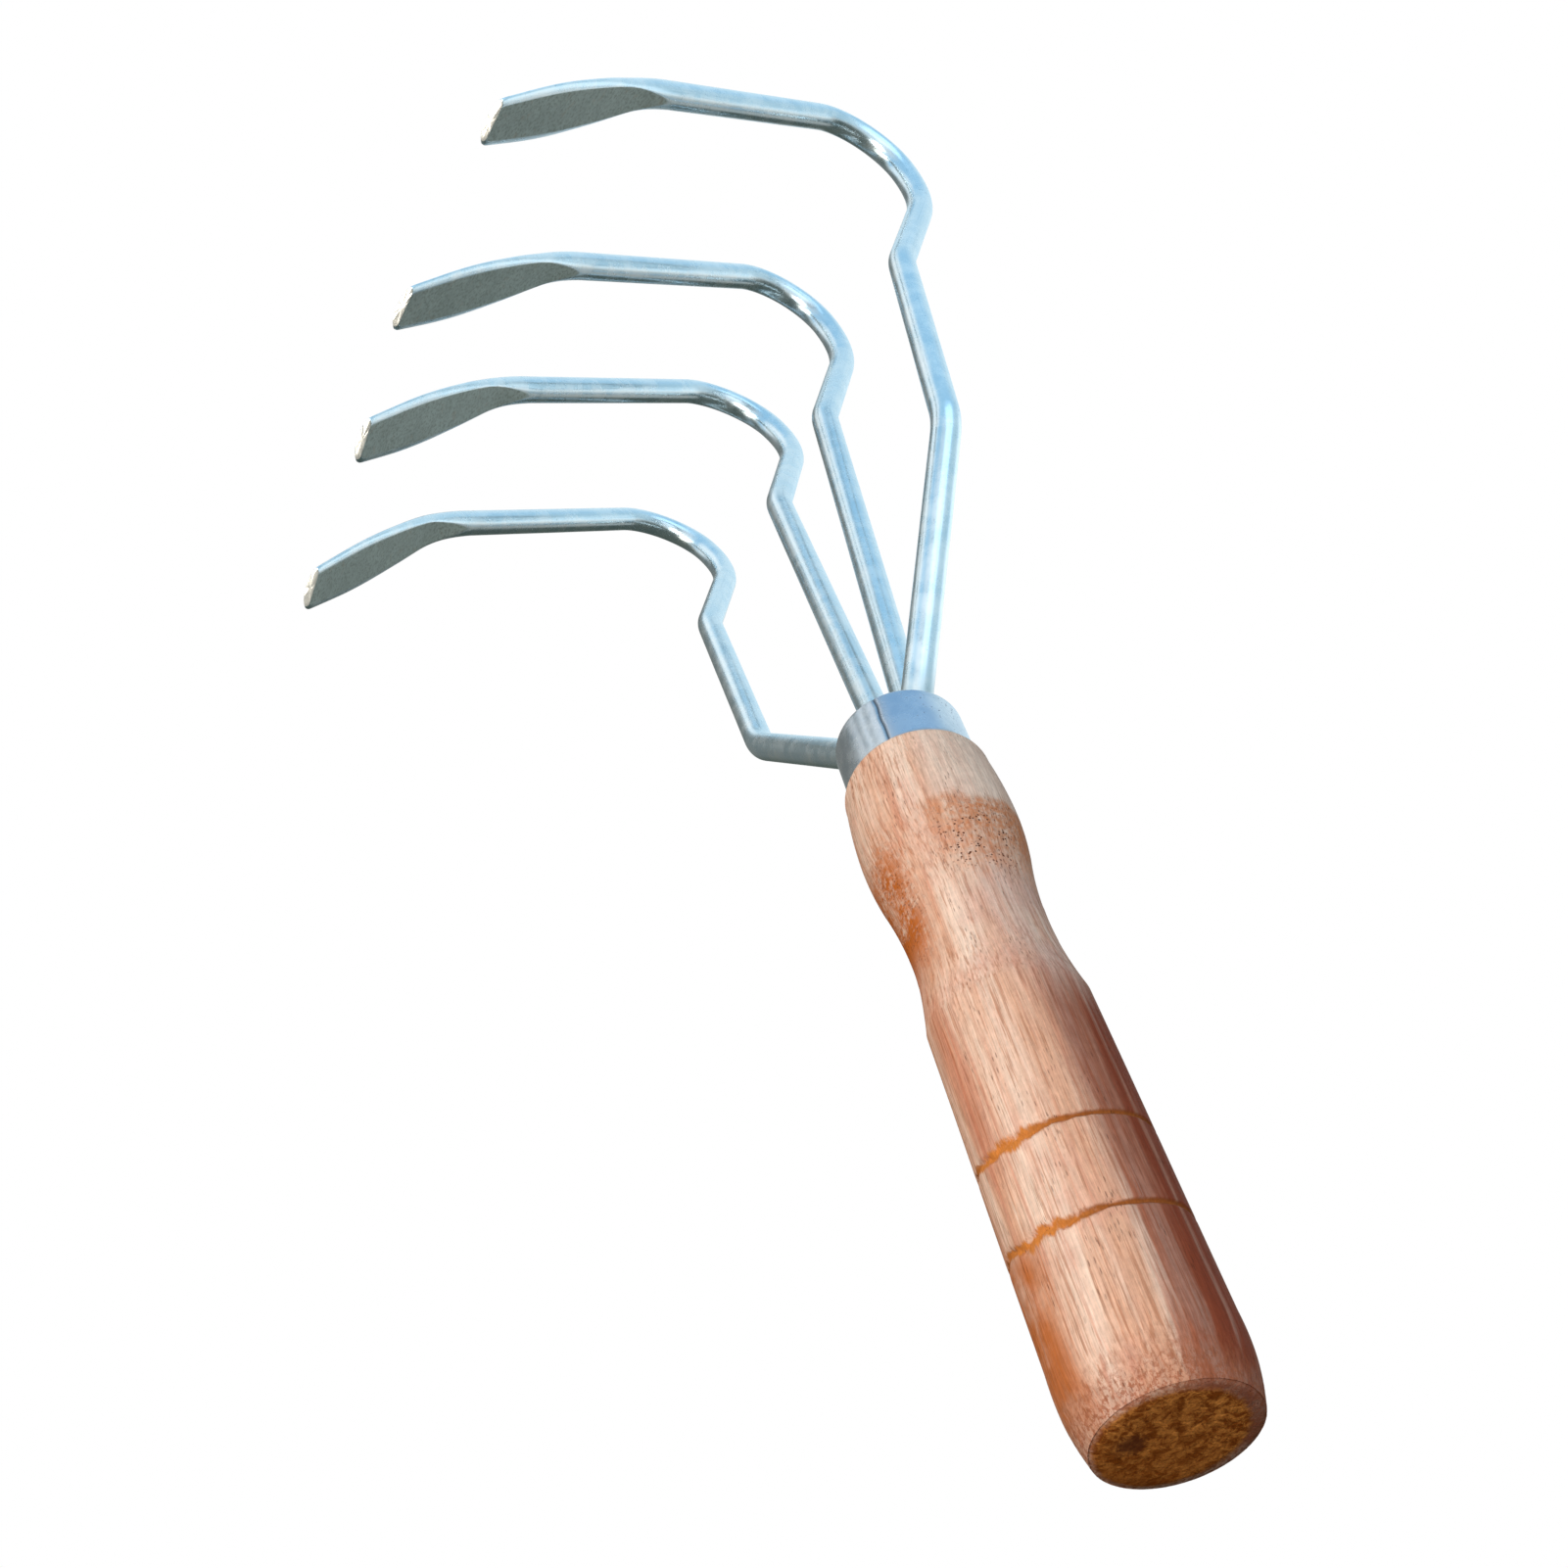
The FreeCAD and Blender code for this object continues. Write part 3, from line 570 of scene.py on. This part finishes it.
def make_ferrule():
    """The steel band, with a faint rolled seam and slightly uneven faces."""
    tool = bmesh.new()
    layer = tool.verts.layers.float.new("seam")
    outside = FERRULE_R - FERRULE_WALL + 0.3
    loops = []
    for x, r in ferrule_outline():
        loop = []
        for k in range(FERRULE_SIDES):
            turn = 360.0 * k / FERRULE_SIDES
            angle = math.radians(turn)
            away = turned_from(turn, SEAM_TURN) + 1.2 * noise.noise(Vector((x * 0.3, 2.0, 0.0)))
            seam = math.exp(-(away / SEAM_SPREAD) ** 2) if r > outside else 0.0
            uneven = noise.noise(Vector((x * 0.2, turn * 0.05, 4.0)))
            radius = r - SEAM_DEPTH * seam - 0.03 * (0.5 + 0.5 * uneven)
            vert = tool.verts.new((x, radius * math.cos(angle), radius * math.sin(angle)))
            vert[layer] = seam
            loop.append(vert)
        loops.append(loop)
    loops.append(loops[0])
    skin(tool, loops)
    link_piece("ferrule_band", tool, ferrule_steel(), "ferrule", sharp=40)


def smooth_between(stations, u, column):
    """A value read from the blade table, eased through its rows."""
    rows = [stations[0]] + list(stations) + [stations[-1]]
    for k in range(1, len(rows) - 2):
        if u <= rows[k + 1][0] or k == len(rows) - 3:
            a, b = rows[k], rows[k + 1]
            t = min(1.0, max(0.0, (u - a[0]) / (b[0] - a[0])))
            slope = []
            for p, q in ((rows[k - 1], b), (a, rows[k + 2])):
                gap = q[0] - p[0]
                slope.append((q[column] - p[column]) / gap * (b[0] - a[0]) if gap else 0.0)
            h = eased(t)
            return (a[column] * (1 - h) + b[column] * h
                    + slope[0] * t * (1 - t) ** 2 - slope[1] * t * t * (1 - t))


def plane_walk(moves):
    """Points along straight runs and arcs in one plane: (length so far, x, z, heading).

    A move is ("line", length) or ("arc", degrees, radius); a positive arc turns up.
    """
    x = z = head = gone = 0.0
    out = [(0.0, 0.0, 0.0, 0.0)]
    for move in moves:
        if move[0] == "line":
            steps = max(1, round(move[1] / RUN_STEP))
            for k in range(1, steps + 1):
                step = move[1] / steps
                x, z = x + math.cos(head) * step, z + math.sin(head) * step
                gone += step
                out.append((gone, x, z, head))
        else:
            turn, radius = math.radians(move[1]), move[2]
            length = abs(turn) * radius
            steps = max(2, round(length / ARC_STEP))
            side = 1 if turn > 0 else -1
            cx, cz = x - math.sin(head) * radius * side, z + math.cos(head) * radius * side
            start = head
            for k in range(1, steps + 1):
                head = start + turn * k / steps
                x, z = cx + math.sin(head) * radius * side, cz - math.cos(head) * radius * side
                gone += length / steps
                out.append((gone, x, z, head))
    return out


def square_on(direction, sideways):
    """Three axes: along the direction, nearest to sideways, and across both."""
    ahead = direction.normalized()
    up = ahead.cross(sideways).normalized()
    return ahead, up.cross(ahead), up


def rolled(direction, roll, side):
    """The level direction to the left of a run, rolled about the run by some degrees."""
    ahead = direction.normalized()
    left = Vector((-ahead.y, ahead.x, 0)).normalized()
    up = ahead.cross(left)
    lean = math.radians(roll) * side
    return left * math.cos(lean) - up * math.sin(lean)


def hook_stations(start, direction, sideways, straight, arm, curl):
    """Centre line of a hook and its blade as (point, heading direction, blade share or None)."""
    ahead, left, up = square_on(direction, sideways)
    moves = [("line", straight), ("arc", JOG, JOG_R), ("line", RISE), ("arc", -CROWN, CROWN_R),
             ("arc", -CROOK, CROOK_R), ("line", arm)]
    wire_len = plane_walk(moves)[-1][0]
    blade_len = math.radians(curl) * CURL_R + BLADE_LEN
    moves += [("arc", -curl, CURL_R)] + [("line", BLADE_LEN / BLADE_STEPS)] * BLADE_STEPS
    out = []
    for gone, x, z, head in plane_walk(moves):
        share = (gone - wire_len) / blade_len if gone > wire_len + 1e-6 else None
        out.append((start + ahead * x + up * z, ahead * math.cos(head) + up * math.sin(head), share))
    return out, left


def inner_line(name, side):
    """Centre line of an inner tine, tang first, and the direction across its hook."""
    bend = Vector((TANG_BEND, side * TANG_SIDE, TANG_HEIGHT))
    run = Vector((INNER.x, side * INNER.y, INNER.z)) - bend
    tang = TANG_BEND - TANG_EASE - TANG_START
    stations = [(Vector((TANG_START + tang * k / TANG_STEPS, bend.y, bend.z)), Vector((1, 0, 0)), None)
                for k in range(TANG_STEPS + 1)]
    hooked, left = hook_stations(bend, run, rolled(run, INNER_ROLL, side),
                                 run.length, ARM[name], CURL[name])
    return stations + hooked[1:], left


def outer_line(name, side):
    """Centre line of an outer tine, stub and bend first, and the direction across its hook."""
    yaw, pitch = math.radians(OUTER_YAW), math.radians(OUTER_PITCH)
    ahead = Vector((math.cos(pitch) * math.cos(yaw), side * math.cos(pitch) * math.sin(yaw),
                    math.sin(pitch)))
    corner = Vector((OUTER.x, side * OUTER.y, OUTER.z)) - ahead * OUTER_RUN
    foot = Vector((STUB.x, side * STUB.y, STUB.z))
    stub = (corner - foot).normalized()
    turn = stub.angle(ahead)
    ease = OUTER_BEND_R * math.tan(turn / 2)
    reach = (corner - foot).length - ease
    stations = [(foot + stub * (reach * k / STUB_STEPS), stub, None) for k in range(STUB_STEPS + 1)]
    inward = (ahead - stub * stub.dot(ahead)).normalized()
    centre = corner - stub * ease + inward * OUTER_BEND_R
    for k in range(1, BEND_STEPS + 1):
        a = turn * k / BEND_STEPS
        back, on = OUTER_BEND_R * math.cos(a), OUTER_BEND_R * math.sin(a)
        stations.append((centre - inward * back + stub * on,
                         stub * math.cos(a) + inward * math.sin(a), None))
    hooked, left = hook_stations(corner + ahead * ease, ahead, rolled(ahead, OUTER_ROLL, side),
                                 OUTER_RUN - ease, ARM[name], CURL[name])
    return stations + hooked[1:], left


def make_tine(word, side, kind, wire):
    """One tine: round wire along its centre line, forged flat into a blade at the end."""
    name = kind + "_" + word
    stations, left = inner_line(name, side) if kind == "inner" else outer_line(name, side)
    tool = bmesh.new()
    layers = {key: tool.verts.layers.float.new(key)
              for key in ("along", "across", "above", "flat", "tip")}
    seed = Vector((side * 7.0, 3.0 if kind == "inner" else 11.0, 0.0))
    loops, gone, last = [], 0.0, stations[0][0]
    for point, ahead, share in stations:
        gone += (point - last).length
        last = point
        across = (left - ahead * left.dot(ahead)).normalized()
        above = ahead.cross(across).normalized() * -1
        if share is None:
            wide = thick = WIRE_R * (1 - UNEVEN_WIRE * (0.5 + 0.5 * noise.noise(point * 0.09 + seed)))
        else:
            wide = smooth_between(BLADE, share, 1) - 0.06
            thick = smooth_between(BLADE, share, 2) - 0.03
            cut = thick * (1.02 - 0.42 * eased(share / 0.30))
            if share > 0.999:
                point = point - ahead * TIP_BACK
        loop = []
        for k in range(WIRE_SIDES):
            a = 2 * math.pi * k / WIRE_SIDES
            p, q, flat = math.cos(a) * wide, math.sin(a) * thick, 0.0
            if share is not None:
                # the lower corner of the tip is rounded over more than the upper one
                end = max(0.0, (share - 0.965) / 0.035)
                p *= 1 - (0.20 if p < 0 else 0.05) * end * end
                if q > cut:
                    over = q - cut
                    dent = 0.05 * noise.noise(point * 0.25 + seed) * min(1.0, over)
                    q = cut + 0.02 * over + dent
                    flat = min(1.0, over / 0.16)
            vert = tool.verts.new(point + across * p + above * q)
            for key, value in (("along", gone), ("across", p), ("above", q)):
                vert[layers[key]] = value * MM
            vert[layers["flat"]] = flat
            loop.append(vert)
        loops.append(loop)

    # close the tip with a narrow ground edge and a slightly ragged sheared face
    end_ahead, rim = stations[-1][1], loops[-1]
    hub = sum((vert.co for vert in rim), Vector()) / WIRE_SIDES
    for shrink, push in TIP_LOOPS:
        loop = []
        for vert in rim:
            ragged = 0.14 * noise.noise(vert.co * 0.9 + seed) if shrink < 0.95 else 0.0
            new = tool.verts.new(hub + (vert.co - hub) * shrink + end_ahead * (push + ragged * 0.5))
            for key in ("along", "across", "above"):
                new[layers[key]] = vert[layers[key]]
            new[layers["tip"]] = 1.0
            loop.append(new)
        loops.append(loop)
    skin(tool, loops)
    centre = fan(tool, loops[-1], hub + end_ahead * TIP_LOOPS[-1][1])
    centre[layers["tip"]] = 1.0
    fan(tool, loops[0], stations[0][0])
    link_piece("tine_wire_" + name, tool, wire, "tine_" + name, sharp=28)


def make_weld():
    """The lumpy bead that joins the four roots in the mouth of the ferrule."""
    tool = bmesh.new()
    bmesh.ops.create_icosphere(tool, subdivisions=6, radius=1.0)
    for vert in tool.verts:
        lump = noise.noise(vert.co * 2.6) * 0.10 + noise.noise(vert.co * 6.5) * 0.04
        round_bead = vert.co.normalized() * (WELD_FULL + lump)
        vert.co = WELD + round_bead * WELD_HALF
    link_piece("weld_bead", tool, weld_metal(), "root_weld", sharp=60)


make_handle()
make_ferrule()
wire_finish = plated_wire()
for word, side in (("left", 1), ("right", -1)):
    for kind in ("inner", "outer"):
        make_tine(word, side, kind, wire_finish)
make_weld()

# ------------------------------------------------------------------ setting
scene = bpy.context.scene
CAM_RIGHT = Vector((-0.186356, 0.443061, 0.876909))
CAM_UP = Vector((0.602281, 0.756688, -0.254326))
CAM_BACK = Vector((-0.776228, 0.480750, -0.407860))
CAM_PLACE = Vector((-0.113512, 0.142780, -0.149782))
AIM = Vector((0.17, 0.0, -0.02))        # the middle of the tool, where the lamps point
FLOOR_Z, FLOOR_HALF, FLOOR_SQUARES, FLOOR_GLOW = -0.72, 6.0, 24, 0.42
SOFT_DIMMING = 0.55                     # share of the room's light that soft light loses

lens = bpy.data.cameras.new("studio_camera")
lens.lens, lens.sensor_width = 42.0957, 36.0
lens.clip_start, lens.clip_end = 0.01, 50.0
camera = bpy.data.objects.new("studio_camera", lens)
camera.matrix_world = Matrix((
    (CAM_RIGHT.x, CAM_UP.x, CAM_BACK.x, CAM_PLACE.x),
    (CAM_RIGHT.y, CAM_UP.y, CAM_BACK.y, CAM_PLACE.y),
    (CAM_RIGHT.z, CAM_UP.z, CAM_BACK.z, CAM_PLACE.z),
    (0, 0, 0, 1)))
scene.collection.objects.link(camera)
scene.camera = camera


def softbox(name, direction, distance, size, power, colour):
    """A soft rectangular light that faces the tool; the camera doesn't see it."""
    lamp = bpy.data.lights.new(name, "AREA")
    lamp.shape, lamp.size, lamp.size_y = "RECTANGLE", size[0], size[1]
    lamp.energy, lamp.color = power, colour
    box = bpy.data.objects.new(name, lamp)
    spot = AIM + direction.normalized() * distance
    facing_tool = (spot - AIM).to_track_quat("Z", "Y").to_matrix().to_4x4()
    box.matrix_world = Matrix.Translation(spot) @ facing_tool
    box.visible_camera = False
    scene.collection.objects.link(box)


softbox("sky_box", CAM_UP * 0.8 + CAM_RIGHT * 0.35 + CAM_BACK * 0.35, 1.0,
        size=(1.0, 0.7), power=2.0, colour=(0.70, 0.88, 1.0))
softbox("front_box", CAM_BACK * 1.0 + CAM_UP * 0.25 - CAM_RIGHT * 0.3, 0.6,
        size=(0.34, 0.34), power=2.1, colour=(1.0, 0.96, 0.91))
softbox("left_box", CAM_BACK * 0.5 - CAM_RIGHT * 1.0 + CAM_UP * 0.1, 0.55,
        size=(0.22, 0.42), power=1.6, colour=(1.0, 0.92, 0.80))
softbox("far_box", CAM_RIGHT * 0.8 - CAM_BACK * 0.6, 0.9,
        size=(0.8, 0.8), power=0.9, colour=(1.0, 0.97, 0.94))

# a pale paper floor, well below the tool, with a faint glow so that it stays pale
ground = bmesh.new()
bmesh.ops.create_grid(ground, x_segments=FLOOR_SQUARES, y_segments=FLOOR_SQUARES, size=FLOOR_HALF)
bmesh.ops.translate(ground, verts=ground.verts, vec=(0.16, 0, FLOOR_Z))
floor_mesh = bpy.data.meshes.new("floor")
ground.to_mesh(floor_mesh)
ground.free()
floor = bpy.data.objects.new("floor", floor_mesh)
scene.collection.objects.link(floor)
paper = Finish("paper")
paper_colour = paper.mix(paper.cloud(paper.place, 9.0, 3), shade(240, 240, 238), shade(246, 246, 245))
paper.coat(Base_Color=paper_colour, Roughness=0.9,
           Emission_Color=shade(225, 226, 226), Emission_Strength=FLOOR_GLOW)
floor_mesh.materials.append(paper.material)
floor.visible_glossy = False
floor.visible_diffuse = False

# The camera sees white behind the tool.  The room that the metal reflects is blue
# above, paler to the right and behind the tool, nearly white in front and grey at the
# horizon, with one bright patch, dim olive below and one dim side behind the tool.
world = bpy.data.worlds.new("studio")
world.use_nodes = True
scene.world = world
air = Nodes(world.node_tree)
facing = air.node("TexCoord", out="Generated")


def towards(direction):
    """1 where the room is looked at in this direction, 0 square to it, -1 opposite."""
    return air.node("VectorMath", {"operation": "DOT_PRODUCT"},
                    {0: facing, 1: tuple(direction.normalized())}, out="Value")


height = towards(CAM_UP)
sky = air.mix(air.span(towards(CAM_RIGHT), 0.35, 0.85),
              (0.47, 0.79, 1.05, 1.0), (0.62, 0.83, 0.94, 1.0))
sky = air.mix(air.span(towards(-CAM_BACK), 0.28, 0.76), sky, (0.82, 1.02, 1.13, 1.0))
sky = air.mix(air.span(towards(CAM_BACK + CAM_UP * 0.4), 0.50, 1.00), sky, (0.95, 1.0, 1.04, 1.0))
bright_patch = towards(CAM_UP * 0.55 - CAM_RIGHT * 0.76 - CAM_BACK * 0.40)
sky = air.mix(air.span(bright_patch, 0.80, 0.95), sky, (1.28, 1.34, 1.36, 1.0))
sky = air.mix(air.span(height, 0.14, 0.0), sky, (0.76, 0.82, 0.82, 1.0))
tint = air.mix(air.span(height, -0.22, 0.02), (0.085, 0.105, 0.09, 1.0), sky)
dim_side = towards(CAM_RIGHT * -0.55 + CAM_UP * 0.08 - CAM_BACK * 0.83)
tint = air.mix(air.span(dim_side, 0.82, 0.94), tint, (0.20, 0.215, 0.205, 1.0))
strength = 1.0 - air.node("LightPath", out="Is Diffuse Ray") * SOFT_DIMMING
room = air.node("Background", sockets={"Color": tint, "Strength": strength})
backdrop = air.node("Background", sockets={"Color": (1.0, 1.0, 1.0, 1.0), "Strength": 1.0})
seen = air.node("LightPath", out="Is Camera Ray")
air.plug(air.node("MixShader", sockets={0: seen, 1: room, 2: backdrop}),
         air.tree.nodes["World Output"].inputs["Surface"])
scene.view_settings.view_transform = "Standard"
